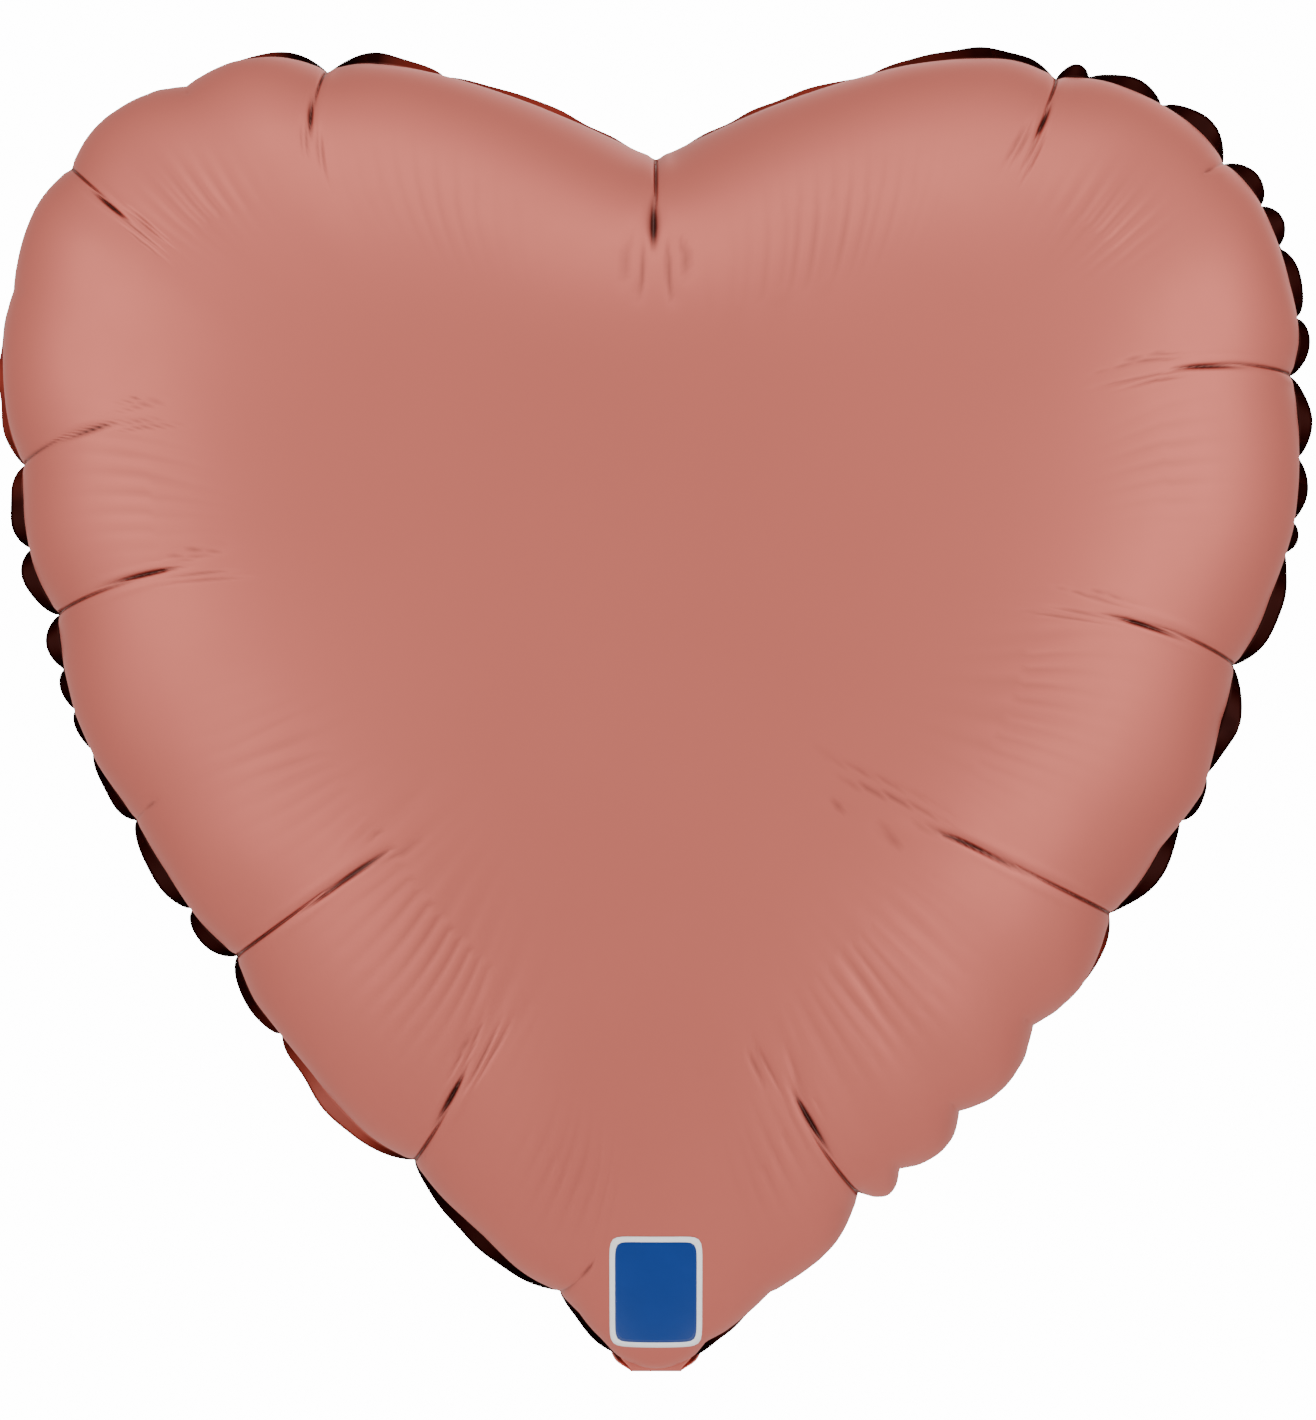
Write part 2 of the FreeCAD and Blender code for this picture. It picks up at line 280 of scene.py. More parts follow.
RIM = Rim()
CREASES = sorted((RIM.share_of(x, z), *rest) for x, z, *rest in GATHERS)
PINCH_AT = np.array(sorted([c[0] for c in CREASES] + [RIM.share_of(x, z) for x, z in PINCHES]))


def around(share, centre):
    """Signed distance along the rim from a place to each share, in millimetres."""
    return ((np.asarray(share) - centre + 0.5) % 1 - 0.5) * RIM.length


def table_round(places, column, share):
    """A column of a table of places on the rim, read at each share."""
    at = np.array([RIM.share_of(row[0], row[1]) for row in places])
    order = np.argsort(at)
    return np.interp(share, at[order], np.array([row[column] for row in places])[order], period=1.0)


def between(share, places):
    """Index of the place before each share, and the distances back to it and on to the next."""
    after = np.searchsorted(places, share, side="right") % len(places)
    back = ((share - places[after - 1]) % 1) * RIM.length
    onward = ((places[after] - share) % 1) * RIM.length
    return after, back, onward


def cusp_pull(share):
    """How far the gathers pull the seam in: rounded lobes that meet in cusps."""
    after, back, onward = between(share, np.array([c[0] for c in CREASES]))
    cusp = np.array([c[4] for c in CREASES])
    flank = np.minimum((back + onward) / 2, LOBE_REACH)
    near = np.maximum(0, 1 - back / flank) ** 2 * cusp[after - 1]
    return near + np.maximum(0, 1 - onward / flank) ** 2 * cusp[after]


def column_shares():
    """Where the columns start on the rim: closer together beside each gather."""
    fine = np.linspace(0, 1, COLUMN_STEPS + 1)
    density = np.ones_like(fine)
    for centre, reach, depth, _, _, lean in CREASES:
        w = around(fine, centre)
        beside = w - np.clip(w, min(0, lean * reach), max(0, lean * reach))
        crowd = COLUMN_CROWD * min(depth / COLUMN_CROWD_DEPTH, 1)
        density += crowd * np.exp(-((beside / COLUMN_CROWD_HALF) ** 2))
    total = np.r_[0, np.cumsum((density[1:] + density[:-1]) / 2)]
    return np.interp(np.arange(COLUMNS) / COLUMNS, total / total[-1], fine)


def panel_plan():
    """The panel's points in the plane: their places, shares round the rim and depths inside it; its faces;
    and which points lie on the seam."""
    shares = column_shares()
    inward = RIM.read(RIM.inward, shares)
    inset = MARGIN_INSET * table_round(MARGIN_SHOWS, 2, shares) + cusp_pull(shares)
    seam = RIM.read(RIM.points, shares) + inset[:, None] * inward
    to_middle = np.array(MIDDLE) - seam
    crossing = np.where(inward[:, 0] * seam[:, 0] < 0, np.abs(seam[:, 0] / (inward[:, 0] + 1e-9)), 1e3)
    handle = np.minimum(HANDLE_SHARE * np.linalg.norm(to_middle, axis=1), HANDLE_CROSSING * crossing)
    handle = smoothed_round(handle[:, None], HANDLE_SMOOTHING)
    place, share, inside, rows = [], [], [], []
    for j in range(ROWS):
        g = (j / ROWS) ** ROW_POWER
        step = 2 ** sum(j >= h for h in HALVE_AT)
        pick = np.arange(0, COLUMNS, step)
        bend = seam + inward * handle
        line = (1 - g) ** 2 * seam + 2 * g * (1 - g) * bend + g * g * np.array(MIDDLE)
        rows.append(np.arange(len(pick)) + sum(len(r) for r in rows))
        place.append(line[pick])
        share.append(shares[pick])
        inside.append(np.linalg.norm(line - seam, axis=1)[pick])
    place.append([MIDDLE])
    share.append([0.0])
    inside.append([float(np.linalg.norm(to_middle, axis=1).mean())])
    faces = []
    for outer, inner in zip(rows, rows[1:]):
        for i in range(len(inner)):
            c, d = inner[i], inner[(i + 1) % len(inner)]
            if len(outer) == len(inner):
                faces.append((outer[i], outer[(i + 1) % len(outer)], d, c))
            else:
                a, b, e = outer[2 * i], outer[2 * i + 1], outer[(2 * i + 2) % len(outer)]
                faces += [(a, b, c), (b, d, c), (b, e, d)]
    last, tip = rows[-1], rows[-1][-1] + 1
    faces += [(last[i], last[(i + 1) % len(last)], tip) for i in range(len(last))]
    place, share, inside = np.vstack(place), np.concatenate(share), np.concatenate(inside)
    return relaxed(place, inside, triangles(faces)), share, inside, faces, rows[0]


def triangles(faces):
    """The faces as triangles."""
    out = []
    for f in faces:
        out.append(f[:3])
        if len(f) == 4:
            out.append((f[0], f[2], f[3]))
    return np.array(out)


def relaxed(place, inside, tris):
    """The plan with its inner points evened out, so that no face folds over another."""
    heads = np.r_[tris[:, 0], tris[:, 1], tris[:, 2]]
    tails = np.r_[tris[:, 1], tris[:, 2], tris[:, 0]]
    count = (np.bincount(heads) + np.bincount(tails))[:, None]
    free = RELAX_SHARE * np.clip((inside - RELAX_FROM) / RELAX_FROM, 0, 1)[:, None]
    for _ in range(RELAX_ROUNDS):
        sums = [np.bincount(heads, place[tails, k]) + np.bincount(tails, place[heads, k]) for k in (0, 1)]
        place = place + free * (np.stack(sums, axis=1) / count - place)
    return place


def fullness(place, tris, seam):
    """How far from the seam the gas can push the film: the solution of Poisson's equation over the heart."""
    n = len(place)
    heads, tails, weights = [], [], []
    for k in range(3):
        o, a, b = tris[:, k], tris[:, (k + 1) % 3], tris[:, (k + 2) % 3]
        u, v = place[a] - place[o], place[b] - place[o]
        cross = np.abs(u[:, 0] * v[:, 1] - u[:, 1] * v[:, 0]) + 1e-9
        weights.append(np.clip((u * v).sum(1) / cross, -5, 50) / 2)
        heads.append(a)
        tails.append(b)
    heads, tails, weights = (np.concatenate(x) for x in (heads, tails, weights))
    u, v = place[tris[:, 1]] - place[tris[:, 0]], place[tris[:, 2]] - place[tris[:, 0]]
    area = np.abs(u[:, 0] * v[:, 1] - u[:, 1] * v[:, 0]) / 6
    load = sum(np.bincount(tris[:, k], area, n) for k in range(3))
    free = np.ones(n)
    free[seam] = 0
    diagonal = np.bincount(heads, weights, n) + np.bincount(tails, weights, n) + 1e-9

    def stiffness(f):
        pull = weights * (f[heads] - f[tails])
        return (np.bincount(heads, pull, n) - np.bincount(tails, pull, n)) * free

    answer = np.zeros(n)
    left = load * free
    ready = left / diagonal
    way = ready.copy()
    energy = left @ ready
    start = energy
    for _ in range(SOLVER_ROUNDS):
        pushed = stiffness(way)
        step = energy / (way @ pushed)
        answer += step * way
        left -= step * pushed
        ready = left / diagonal
        new = left @ ready
        if new < SOLVER_ERROR * start:
            break
        way = ready + way * (new / energy)
        energy = new
    return answer / answer.max()


def pillow_height(full):
    """Share of the full height where the film is this full: the profile of an inflated flat-cut film."""
    steps = 400
    angle = (np.arange(steps) + 0.5) / steps * math.pi / 2
    height = np.r_[0, np.cumsum(np.sqrt(np.sin(angle[::-1])))]
    width = np.sqrt(np.sin(np.linspace(math.pi / 2, 0, steps + 1)))
    edge = 1 - width ** 2
    return np.interp(full, edge, height / height[-1])


# ---------------------------------------------------------------- creases

def ripple(share, seed, waves, low, high):
    """A smooth wandering value round the rim between -1 and 1, made of a few whole waves."""
    rng = np.random.default_rng(seed)
    total = np.zeros_like(share)
    for _ in range(waves):
        count = rng.integers(low, high)
        total += np.sin(2 * math.pi * (count * share + rng.random()))
    return total / math.sqrt(waves) / 1.4


def crease(share, inside, centre, run, half, lean, jog):
    """One crease, from 0 to about 1: a thin line in from the seam, then a deeper stroke beside its end, which
    tapers at both ends. Gives the cut, and the low lips on both sides of it."""
    from_line = np.abs(around(share, centre) - lean * inside)
    from_stroke = np.abs(around(share, centre) - lean * inside - jog)
    d = np.clip(inside / run, 0, 1)
    line = LINE_LEVEL * np.maximum(0, 1 - d / LINE_ENDS) ** 0.5
    stroke = np.exp(-(((d - STROKE_AT) / STROKE_SPREAD) ** 2)) * (1 - d ** 8)
    lip = LIP_LEVEL * (line + stroke) * np.exp(-(((from_line - 3 * half) / (1.5 * half)) ** 2))
    cut = np.maximum(line * np.exp(-from_line / (0.5 * half)), stroke * np.exp(-from_stroke / (0.75 * half)))
    return cut, lip


def splayed_strokes(share, inside, centre, run, lean, rng):
    """The fine strokes that fan out past a crease's inner end, one after another, from 0 to 1."""
    for rank in (-2, -1, 1, 2):
        side = SPLAY_STEP * rank + rng.uniform(-0.35, 0.35)
        start = run * rng.uniform(0.66, 0.84)
        length = run * rng.uniform(0.5, 0.8)
        w = around(share, centre) - side - (lean + SPLAY_LEAN * rank) * inside
        along = np.sin(math.pi * np.clip((inside - start) / length, 0, 1))
        yield along * np.exp(-((w / SPLAY_HALF) ** 2))


def crease_relief(share, inside, arc, rng):
    """The height of all the creases, and how deep in a fold each point lies, from 0 to about 1, which sets
    the painted shade in the creases.
    """
    offset, fold = np.zeros_like(share), np.zeros_like(share)
    for centre, reach, depth, half, cusp, lean in CREASES:
        run = reach * rng.uniform(0.95, 1.05)
        is_long = reach > LONG_CREASE
        jog = rng.uniform(0.5, 1) * rng.choice((-1, 1)) * JOG * min(cusp, 1) if is_long else 0
        cut, lip = crease(share, inside, centre, run, half, lean, jog)
        offset -= depth * (cut - lip) * (1 - np.exp(-arc / CREASE_RISE))
        # Painted shade along the crease, standing in for the shadow in its fold; the fine strokes below get
        # some too.
        fold = np.maximum(fold, cut * min(depth / FULL_SHADE_DEPTH, 1))
        if is_long:
            for groove in splayed_strokes(share, inside, centre, run, lean, rng):
                offset -= SPLAY_DEPTH * depth * groove
                fold = np.maximum(fold, rng.uniform(0.26, 0.42) * groove)
    return offset, fold


def swelling(share, inside, arc):
    """How far the film stands out between the gathers."""
    _, back, onward = between(share, np.array([c[0] for c in CREASES]))
    arch = np.sin(math.pi * back / (back + onward)) ** 2
    height = PUFF * np.minimum((back + onward) / PUFF_GAP, 1) * arch
    return height * (1 - np.exp(-arc / PUFF_RISE)) * np.exp(-((inside / PUFF_REACH) ** 2))


def wave_relief(share, inside, rng):
    """The height of the fine waves, and the painted shade in their troughs."""
    offset, trough_painted_shade = np.zeros_like(share), np.zeros_like(share)
    for x, z, depth, along, across, wave, height in WAVES:
        w = around(share, RIM.share_of(x, z))
        envelope = np.exp(-((w / along) ** 2) - ((inside - depth) / across) ** 2)
        swing = envelope * np.sin(2 * math.pi * w / wave + rng.uniform(0, 6.28))
        offset += height * swing
        # Painted shade in the wave troughs, standing in for their shadow.
        trough_painted_shade = np.maximum(trough_painted_shade, WAVE_PAINTED_SHADE * height * -swing)
    return offset, trough_painted_shade


def skin_offset(share, inside, arc, seed):
    """How far the film stands off the smooth pillow, and how much painted shade each point gets, from 0 to 1.
    """
    rng = np.random.default_rng(seed)
    creases, fold = crease_relief(share, inside, arc, rng)
    waves, trough_painted_shade = wave_relief(share, inside, rng)
    # Painted shade from the creases' folds and the waves' troughs.
    painted_shade = np.clip(np.maximum(FOLD_CONTRAST * (fold - FOLD_STARTS), trough_painted_shade), 0, 1)
    return creases + swelling(share, inside, arc) + waves, painted_shade


# ---------------------------------------------------------------- mesh helpers

def vertex_normals(co, tris):
    """Unit normals at the points of a triangle mesh."""
    cross = np.cross(co[tris[:, 1]] - co[tris[:, 0]], co[tris[:, 2]] - co[tris[:, 0]])
    total = np.zeros_like(co)
    for k in range(3):
        for axis in range(3):
            total[:, axis] += np.bincount(tris[:, k], cross[:, axis], len(co))
    return total / (np.linalg.norm(total, axis=1)[:, None] + 1e-12)


def new_piece(name, co, faces, material):
    """A smooth-shaded mesh object from points in millimetres."""
    mesh = bpy.data.meshes.new(name)
    mesh.from_pydata((np.asarray(co) * MM).tolist(), [], [tuple(int(i) for i in f) for f in faces])
    mesh.shade_smooth()
    mesh.materials.append(material)
    mesh.update()
    piece = bpy.data.objects.new(name, mesh)
    bpy.context.scene.collection.objects.link(piece)
    return piece


def shade_points(piece, values):
    """Gives each point of the piece its painted shade, from 0 to 1."""
    shade = piece.data.attributes.new("painted_shade", "FLOAT", "POINT")
    shade.data.foreach_set("value", values)


def grid_faces(rows, columns, closed=False, wrap=False):
    """Quads of a grid of points, row by row; closed joins the last column to the first, wrap the last row."""
    across = columns if closed else columns - 1
    count = (rows - 1) * columns if wrap else rows * columns
    faces = []
    for j in range(rows - 1):
        for i in range(across):
            here, right = j * columns + i, j * columns + (i + 1) % columns
            faces.append((here, right, (right + columns) % count, (here + columns) % count))
    return faces


def apply_modifiers(piece):
    """Makes the piece's modifiers part of its mesh."""
    graph = bpy.context.evaluated_depsgraph_get()
    mesh = bpy.data.meshes.new_from_object(piece.evaluated_get(graph))
    piece.modifiers.clear()
    piece.data = mesh


# ---------------------------------------------------------------- skins and margin

def skin_points(side, place, share, inside, full, tris, seam):
    """The film's points on one side, and the painted shade at each. side is -1 for the front, 1 for the back.
    """
    height = DEPTH * pillow_height(full)
    if side > 0:
        tail = TAIL_GAP + np.maximum(place[:, 1], 0) * TAIL_SLOPE
        height = ((height + 1e-6) ** -TAIL_PRESS + tail ** -TAIL_PRESS) ** (-1 / TAIL_PRESS)
    base = np.c_[place[:, 0], side * height, place[:, 1]]
    outward = vertex_normals(base, tris)
    outward *= np.sign(outward[:, 1].mean() * side)
    flat = -RIM.read(RIM.inward, share[seam])
    outward[seam] = np.c_[flat[:, 0], np.zeros(len(seam)), flat[:, 1]]
    arc = np.hypot(inside, height)
    offset, painted_shade = skin_offset(share, inside, arc, SKIN_SEED + side)
    return base + outward * offset[:, None], painted_shade


def make_skins(foil):
    """The two foil panels, and the seam's points and shares."""
    place, share, inside, faces, seam = panel_plan()
    tris = triangles(faces)
    full = fullness(place, tris, seam)
    skins = []
    for side, name in ((-1, "front"), (1, "back")):
        co, painted_shade = skin_points(side, place, share, inside, full, tris, seam)
        turned = faces if side < 0 else [tuple(reversed(f)) for f in faces]
        piece = new_piece(name + "_skin", co, turned, foil)
        shade_points(piece, painted_shade)
        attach(piece, "envelope")
        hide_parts(name + "_panel")
        skins.append((piece, co))
    return skins, share[seam], skins[0][1][seam]


def make_margin(shares, seam, material):
    """The sealed margin round the seam, turned back between pinches: a thin band, open at the neck."""
    beside_neck = np.flatnonzero((np.abs(seam[:, 0]) > NECK_WIDTH / 2) | (seam[:, 2] > MIDDLE[1]))
    first = beside_neck[np.argmax(np.diff(beside_neck)) + 1]
    keep = (np.arange(len(beside_neck)) + first) % len(shares)
    shares, seam = shares[keep], seam[keep]
    _, back, onward = between(shares, PINCH_AT)
    arch = np.sin(math.pi * back / (back + onward)) ** MARGIN_ARCH
    uneven = 1 + MARGIN_UNEVEN * ripple(shares, seed=5, waves=4, low=20, high=60)
    shows = table_round(MARGIN_SHOWS, 2, shares) * arch * uneven
    angle = np.arccos(np.clip(shows / MARGIN_WIDTH, 0.02, 0.98))
    outward = -RIM.read(RIM.inward, shares)
    way = np.c_[outward[:, 0] * np.cos(angle), np.sin(angle), outward[:, 1] * np.cos(angle)]
    across = np.c_[-outward[:, 0] * np.sin(angle), np.cos(angle), -outward[:, 1] * np.sin(angle)]
    wander = ripple(shares, seed=9, waves=5, low=40, high=90)
    lines = []
    for k in range(MARGIN_ROWS):
        out = MARGIN_WIDTH * k / (MARGIN_ROWS - 1)
        curl = MARGIN_CURL * (out / MARGIN_WIDTH) ** 2 * wander
        lines.append(seam + way * out + across * curl[:, None])
    half = MARGIN_THICKNESS / 2
    rows = [line - across * half for line in lines] + [line + across * half for line in reversed(lines)]
    faces = grid_faces(len(rows) + 1, len(shares), wrap=True)
    corner = np.arange(len(rows)) * len(shares)
    faces += [tuple(corner[::-1]), tuple(corner + len(shares) - 1)]
    piece = new_piece("rim_margin", np.vstack(rows), faces, material)
    # Painted shade on the margin, from the last column of MARGIN_SHOWS.
    shade_points(piece, np.tile(table_round(MARGIN_SHOWS, 3, shares), len(rows)))
    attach(piece, "envelope")
    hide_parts("rim_seal")


# ---------------------------------------------------------------- printed patch

def rounded_corner(angle, width, height, corner):
    """The point of a rounded rectangle in one direction from its middle."""
    x, z = np.cos(angle), np.sin(angle)
    power = 2 + CORNER_POWER * min(width, height) / corner
    size = (np.abs(x / (width / 2)) ** power + np.abs(z / (height / 2)) ** power) ** (-1 / power)
    return x * size, z * size


def make_print(name, node, tree, lift, corner, material):
    """An ink layer that follows the front skin, over the place the node has."""
    low, high = (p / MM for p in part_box(node))
    middle, width, height = (low + high) / 2, high.x - low.x, high.z - low.z
    angles = np.linspace(0, 2 * math.pi, PRINT_COLUMNS, endpoint=False)
    x, z = rounded_corner(angles, width, height, corner)
    co = []
    for k in range(PRINT_ROWS, 0, -1):
        co += [(middle.x + a * k / PRINT_ROWS, middle.z + b * k / PRINT_ROWS) for a, b in zip(x, z)]
    co.append((middle.x, middle.z))
    front = []
    for a, b in co:
        hit, normal, *_ = tree.ray_cast(Vector((a, -2 * DEPTH, b)), Vector((0, 1, 0)))
        if hit is None:
            hit, normal, *_ = tree.find_nearest(Vector((a, 0, b)))
        front.append(hit + normal * (lift if normal.y < 0 else -lift))
    faces = grid_faces(PRINT_ROWS, PRINT_COLUMNS, closed=True)
    last = (PRINT_ROWS - 1) * PRINT_COLUMNS
    for i in range(PRINT_COLUMNS):
        faces.append((last + i, last + (i + 1) % PRINT_COLUMNS, len(co) - 1))
    piece = new_piece(name, front, faces, material)
    solid = piece.modifiers.new("thickness", "SOLIDIFY")
    solid.thickness = PRINT_THICKNESS * MM
    solid.offset = 0
    apply_modifiers(piece)
    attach(piece, "envelope")
    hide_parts(node)


# ---------------------------------------------------------------- folded tail

def tail_line():
    """The neck and tail seen from the side: points (y, z, turn from hanging down, distance past the root)."""
    line = [(0, z, 0, -z - BEND_RADIUS * TAIL_TURN) for z in np.linspace(NECK_TOP, 0, NECK_ROWS)[:-1]]
    for turn in np.linspace(0, TAIL_TURN, BEND_ROWS)[:-1]:
        y, z = BEND_RADIUS * (1 - math.cos(turn)), -BEND_RADIUS * math.sin(turn)
        line.append((y, z, turn, BEND_RADIUS * (turn - TAIL_TURN)))
    y, z = BEND_RADIUS * (1 - math.cos(TAIL_TURN)), -BEND_RADIUS * math.sin(TAIL_TURN)
    for run in np.linspace(0, TAIL_LENGTH, TAIL_ROWS):
        line.append((y + run * math.sin(TAIL_TURN), z - run * math.cos(TAIL_TURN), TAIL_TURN, run))
    return line


def make_tail_film(name, nodes, side, material, hole=None):
    """One ply of the neck and tail. side is 1 for the front ply, which faces away from the heart."""
    phase = np.random.default_rng(TAIL_SEED + side).uniform(0, 6.28, 2)
    line = tail_line()
    co = []
    for y, z, turn, run in line:
        half = np.interp(run, [0, TAIL_FLARE], [NECK_WIDTH / 2, TAIL_WIDTH / 2])
        end = np.clip((run - (TAIL_LENGTH - TAIL_CORNER)) / TAIL_CORNER, 0, 1)
        half -= TAIL_CORNER * (1 - math.sqrt(1 - end ** 2))
        past_fold = run + BEND_RADIUS * TAIL_TURN / 2
        half -= FOLD_GATHER * math.exp(-((past_fold / FOLD_GATHER_REACH) ** 2))
        for u in np.linspace(-1, 1, TAIL_COLUMNS):
            free = np.clip(run / PLY_FREE, 0, 1) * (1 - u ** 4)
            short = math.sin(run / WRINKLE_LENGTH + phase[0] + 2 * u)
            wave = short * math.sin(2.2 * u + phase[1] + run / WRINKLE_DRIFT)
            out = side * (PLY_OFFSET + PLY_BULGE * free) + PLY_WRINKLE * free * wave
            co.append((half * u, y - out * math.cos(turn), z - out * math.sin(turn)))
    piece = new_piece(name, co, grid_faces(len(line), TAIL_COLUMNS), material)
    solid = piece.modifiers.new("thickness", "SOLIDIFY")
    solid.thickness = FILM_THICKNESS * MM
    solid.offset = 0
    apply_modifiers(piece)
    if hole:
        cut_hole(piece, *hole)
    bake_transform(piece)
    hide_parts(*nodes)


def cut_hole(piece, at, axis, radius):
    """Cuts a round hole through a piece, in metres."""
    bpy.ops.mesh.primitive_cylinder_add(vertices=48, radius=radius, depth=HOLE_CUT, location=at)
    cutter = bpy.context.object
    cutter.rotation_euler = Vector(axis).to_track_quat("Z", "Y").to_euler()
    bpy.context.view_layer.update()
    cut = piece.modifiers.new("hole", "BOOLEAN")
    cut.object = cutter
    cut.operation = "DIFFERENCE"
    cut.solver = "EXACT"
    apply_modifiers(piece)
    bpy.data.objects.remove(cutter)


# ---------------------------------------------------------------- materials

def shader(name, **values):
    """A material with one Principled shader; values are its sockets by name, spaces as underscores."""
    material = bpy.data.materials.new(name)
    material.use_nodes = True
    bsdf = material.node_tree.nodes["Principled BSDF"]
    for key, value in values.items():
        bsdf.inputs[key.replace("_", " ")].default_value = value
    return material, bsdf


def link(material, a, out, b, into):
    """Links one node's output to another's input, both by name."""
    material.node_tree.links.new(a.outputs[out], b.inputs[into])


def noise(material, scale, detail):
    """A noise texture in the object's own coordinates."""
    nodes = material.node_tree.nodes
    where = nodes.new("ShaderNodeTexCoord")
    texture = nodes.new("ShaderNodeTexNoise")
    texture.inputs["Scale"].default_value = scale
    texture.inputs["Detail"].default_value = detail
    link(material, where, "Object", texture, "Vector")
    return texture


def ramp(material, source, low, high):
    """The source's factor as a colour between low and high."""
    node = material.node_tree.nodes.new("ShaderNodeValToRGB")
    for element, position, colour in zip(node.color_ramp.elements, RAMP_ENDS, (low, high)):
        element.position = position
        element.color = colour
    link(material, source, "Fac", node, "Fac")
    return node


def bumps(material, bsdf, source, strength, distance):
    """Adds small relief from a source's factor, in metres."""
    node = material.node_tree.nodes.new("ShaderNodeBump")
    node.inputs["Strength"].default_value = strength
    node.inputs["Distance"].default_value = distance
    link(material, source, "Fac", node, "Height")
    link(material, node, "Normal", bsdf, "Normal")


def foil_material(name, painted_shade_colour, roughness, coat, edge_tint):
    """Satin metallised film with a faint cloudiness and fine relief, with painted shade: its colour goes
    towards a darker one where its points say so.
    """
    material, bsdf = shader(name, Metallic=1.0, Roughness=roughness, Coat_Weight=coat, Coat_Roughness=0.35)
    bsdf.inputs["Specular Tint"].default_value = edge_tint
    cloud = noise(material, scale=9, detail=2)
    low = [c * 0.97 for c in FOIL_COLOUR] + [1]
    high = [c * 1.03 for c in FOIL_COLOUR] + [1]
    nodes = material.node_tree.nodes
    # Painted shade: the colour is mixed towards the given darker colour as far as the points' attribute says.
    shade = nodes.new("ShaderNodeMix")
    shade.data_type = "RGBA"
    shade.inputs["B"].default_value = [*painted_shade_colour, 1]
    painted_shade_node = nodes.new("ShaderNodeAttribute")
    painted_shade_node.attribute_name = "painted_shade"
    link(material, painted_shade_node, "Fac", shade, "Factor")
    link(material, ramp(material, cloud, low, high), "Color", shade, "A")
    link(material, shade, "Result", bsdf, "Base Color")
    grain = noise(material, scale=60, detail=4)
    gloss = ramp(material, grain, [roughness - 0.025] * 3 + [1], [roughness + 0.025] * 3 + [1])
    link(material, gloss, "Color", bsdf, "Roughness")
    bumps(material, bsdf, noise(material, scale=260, detail=3), strength=0.06, distance=0.0001)
    return material


def ink_material(name, colour):
    """A printed ink layer with a soft gloss and a faint unevenness."""
    material, bsdf = shader(name, Roughness=0.4, Specular_IOR_Level=0.12)
    cloud = noise(material, scale=120, detail=3)
    low = [c * 0.93 for c in colour] + [1]
    link(material, ramp(material, cloud, low, [*colour, 1]), "Color", bsdf, "Base Color")
    bumps(material, bsdf, noise(material, scale=900, detail=2), strength=0.05, distance=0.00005)
    return material


def clear_material():
    """The valve's clear film."""
    material, bsdf = shader("clear_film", Roughness=0.12, IOR=1.5, Transmission_Weight=0.9)
    haze = noise(material, scale=200, detail=2)
    link(material, ramp(material, haze, [0.9, 0.92, 0.94, 1], [1, 1, 1, 1]), "Color", bsdf, "Base Color")
    return material


def dress_cad_nodes():
    """Procedural materials on the CAD nodes that stay: the valve's films, welds and release ink."""
    clear = clear_material()
    ink = ink_material("release_ink", RELEASE_INK)
    for node, piece in frame["nodes"].items():
        material = ink if "ink" in node else clear
        for slot in piece.material_slots:
            slot.material = material
        if not piece.material_slots:
            piece.data.materials.append(material)


# ---------------------------------------------------------------- light and camera

def aim(thing, target):
    """Turns a camera or light to look at a point."""
    way = Vector(target) - thing.location
    thing.rotation_euler = way.to_track_quat("-Z", "Y").to_euler()


def soft_box(name, location, width, height, power):
    """A large rectangular studio light, aimed at the balloon's middle."""
    light = bpy.data.lights.new(name, "AREA")
    light.shape = "RECTANGLE"
    light.size, light.size_y, light.energy = width, height, power
    holder = bpy.data.objects.new(name, light)
    holder.location = location
    bpy.context.scene.collection.objects.link(holder)
    aim(holder, LIGHT_TARGET)


def make_camera():
    """The front view, square on, from far enough away to be nearly flat."""
    data = bpy.data.cameras.new("camera")
    camera = bpy.data.objects.new("camera", data)
    bpy.context.scene.collection.objects.link(camera)
    data.sensor_width = 36
    data.lens = data.sensor_width * CAMERA_DISTANCE / FRAME_HEIGHT
    camera.location = (FRAME_MIDDLE[0], -CAMERA_DISTANCE, FRAME_MIDDLE[1])
    aim(camera, (FRAME_MIDDLE[0], 0, FRAME_MIDDLE[1]))
    bpy.context.scene.camera = camera


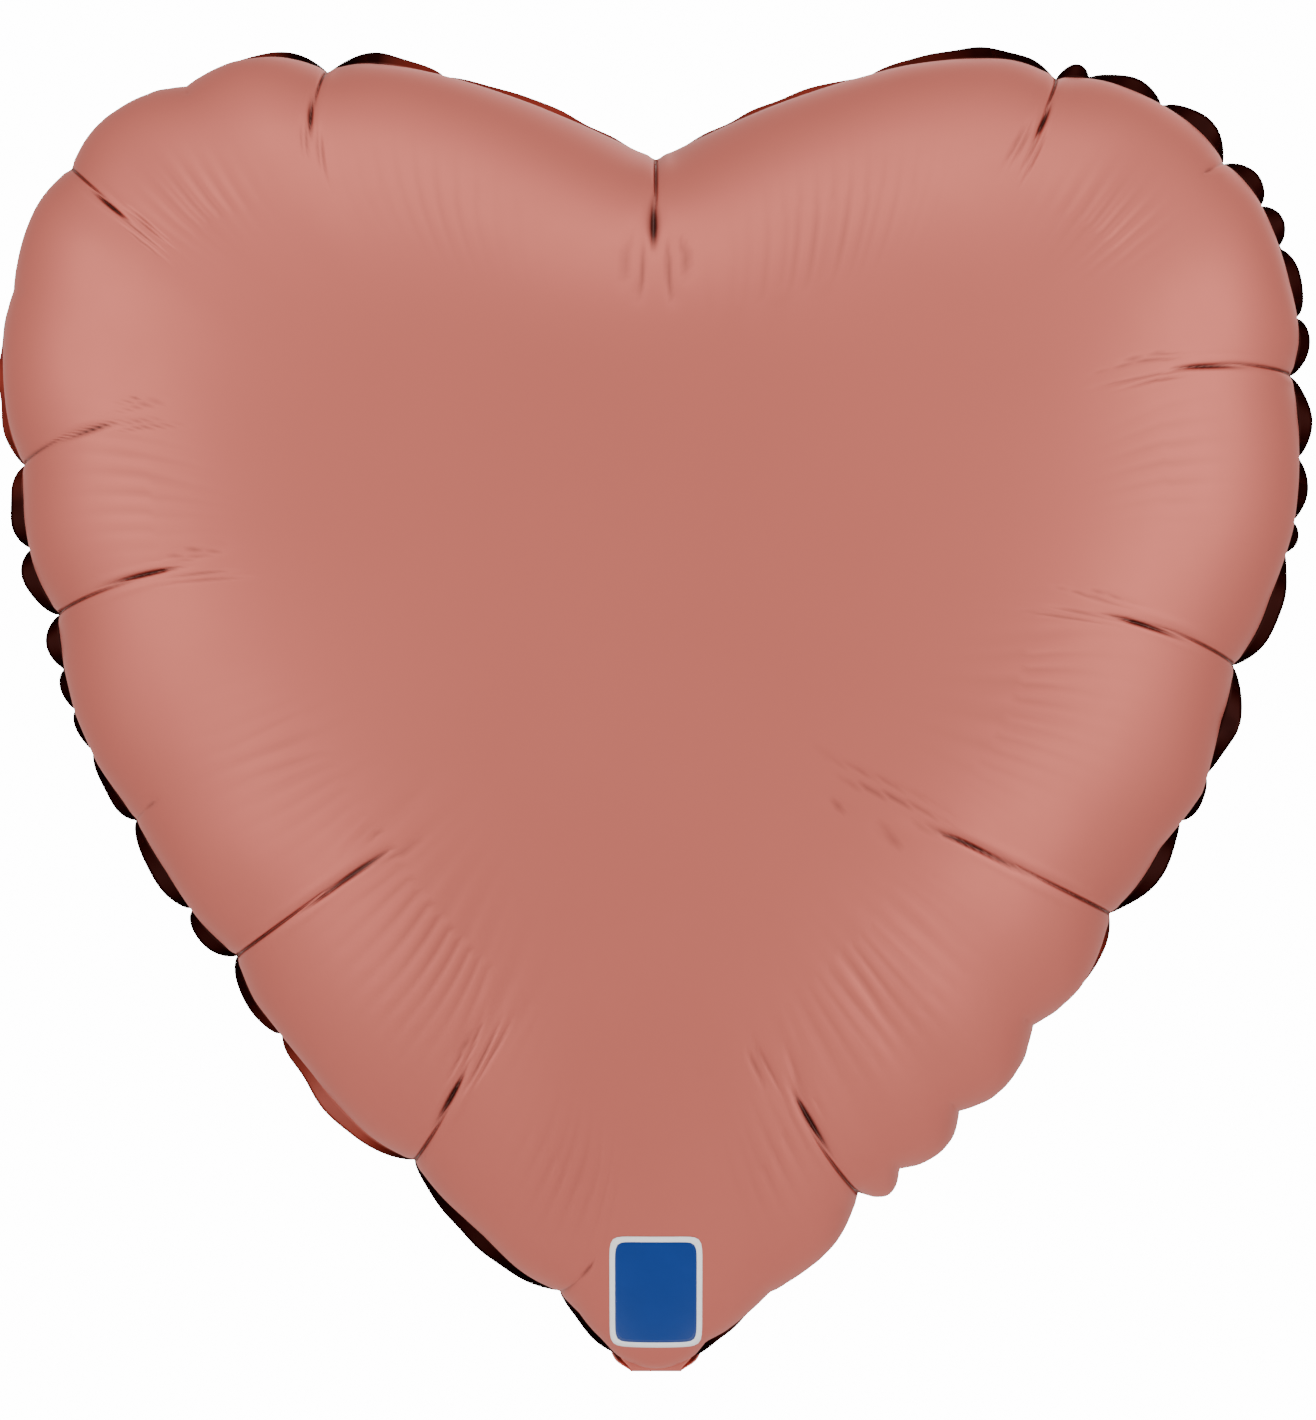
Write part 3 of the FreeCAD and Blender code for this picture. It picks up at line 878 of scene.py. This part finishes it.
def make_surround():
    """An even studio: white as the camera sees it, softer light from the front, more from the sides."""
    world = bpy.data.worlds.new("studio")
    bpy.context.scene.world = world
    world.use_nodes = True
    nodes, links = world.node_tree.nodes, world.node_tree.links
    where = nodes.new("ShaderNodeTexCoord")
    split = nodes.new("ShaderNodeSeparateXYZ")
    links.new(where.outputs["Generated"], split.inputs["Vector"])
    facing = nodes.new("ShaderNodeMapRange")
    facing.inputs["From Min"].default_value = -1
    facing.inputs["From Max"].default_value = 1
    links.new(split.outputs["Y"], facing.inputs["Value"])
    levels = nodes.new("ShaderNodeValToRGB")
    levels.color_ramp.interpolation = "B_SPLINE"
    levels.color_ramp.elements.remove(levels.color_ramp.elements[1])
    for place, level in SURROUND_LEVELS:
        stop = levels.color_ramp.elements.new(place)
        stop.color = (level, level, level, 1)
    levels.color_ramp.elements.remove(levels.color_ramp.elements[0])
    links.new(facing.outputs["Result"], levels.inputs["Fac"])
    light = nodes["Background"]
    links.new(levels.outputs["Color"], light.inputs["Color"])
    light.inputs["Strength"].default_value = SURROUND_STRENGTH
    pale = nodes.new("ShaderNodeBackground")
    pale.inputs["Color"].default_value = (1, 1, 1, 1)
    pale.inputs["Strength"].default_value = BACKDROP_STRENGTH
    seen = nodes.new("ShaderNodeLightPath")
    mix = nodes.new("ShaderNodeMixShader")
    links.new(seen.outputs["Is Camera Ray"], mix.inputs["Fac"])
    links.new(light.outputs["Background"], mix.inputs[1])
    links.new(pale.outputs["Background"], mix.inputs[2])
    links.new(mix.outputs["Shader"], nodes["World Output"].inputs["Surface"])


def make_floor():
    """A pale round floor well below the balloon."""
    bpy.ops.mesh.primitive_circle_add(vertices=96, radius=1.4, fill_type="NGON", location=(0, 0, FLOOR_Z))
    floor = bpy.context.object
    floor.name = "floor"
    material, bsdf = shader("pale_floor", Roughness=0.8)
    cloud = noise(material, scale=2, detail=2)
    tone = ramp(material, cloud, (0.80, 0.80, 0.80, 1), (0.84, 0.84, 0.84, 1))
    link(material, tone, "Color", bsdf, "Base Color")
    floor.data.materials.append(material)


# ---------------------------------------------------------------- build

make_camera()
make_surround()
make_floor()
for box in SOFT_BOXES:
    soft_box(*box)

foil = foil_material("rose_foil", FOLD_PAINTED_SHADE, roughness=0.42, coat=0.3, edge_tint=EDGE_TINT)
# The margin is a darker copy of the foil: painted shade from its points, and a darker edge tint.
margin_foil = foil_material(
    "sealed_margin", MARGIN_PAINTED_SHADE, roughness=0.4, coat=0, edge_tint=MARGIN_EDGE_TINT)
dress_cad_nodes()
skins, seam_shares, seam_line = make_skins(foil)
make_margin(seam_shares, seam_line, margin_foil)
front_skin, front_points = skins[0]
front_faces = [face.vertices for face in front_skin.data.polygons]
front_tree = BVHTree.FromPolygons([Vector(p) for p in front_points], front_faces)
white = ink_material("white_ink", WHITE_INK)
blue = ink_material("blue_ink", BLUE_INK)
border_corner = PRINT_CORNER + BORDER_WIDTH
make_print("patch_border_print", "patch_border", front_tree, BORDER_LIFT, border_corner, white)
make_print("patch_face_print", "patch_face", front_tree, FACE_LIFT, PRINT_CORNER, blue)
port = next(m for m in frame["record"]["mounts"] if m["name"] == "inflation_port")
port_hole = (port["pos_m"], port["axis"], port["dims"]["r_mm"] * MM)
make_tail_film("tail_front_film", ["tail_front_ply", "neck_fold"], 1, foil, port_hole)
make_tail_film("tail_back_film", ["tail_back_ply", "tail_seals"], -1, foil)
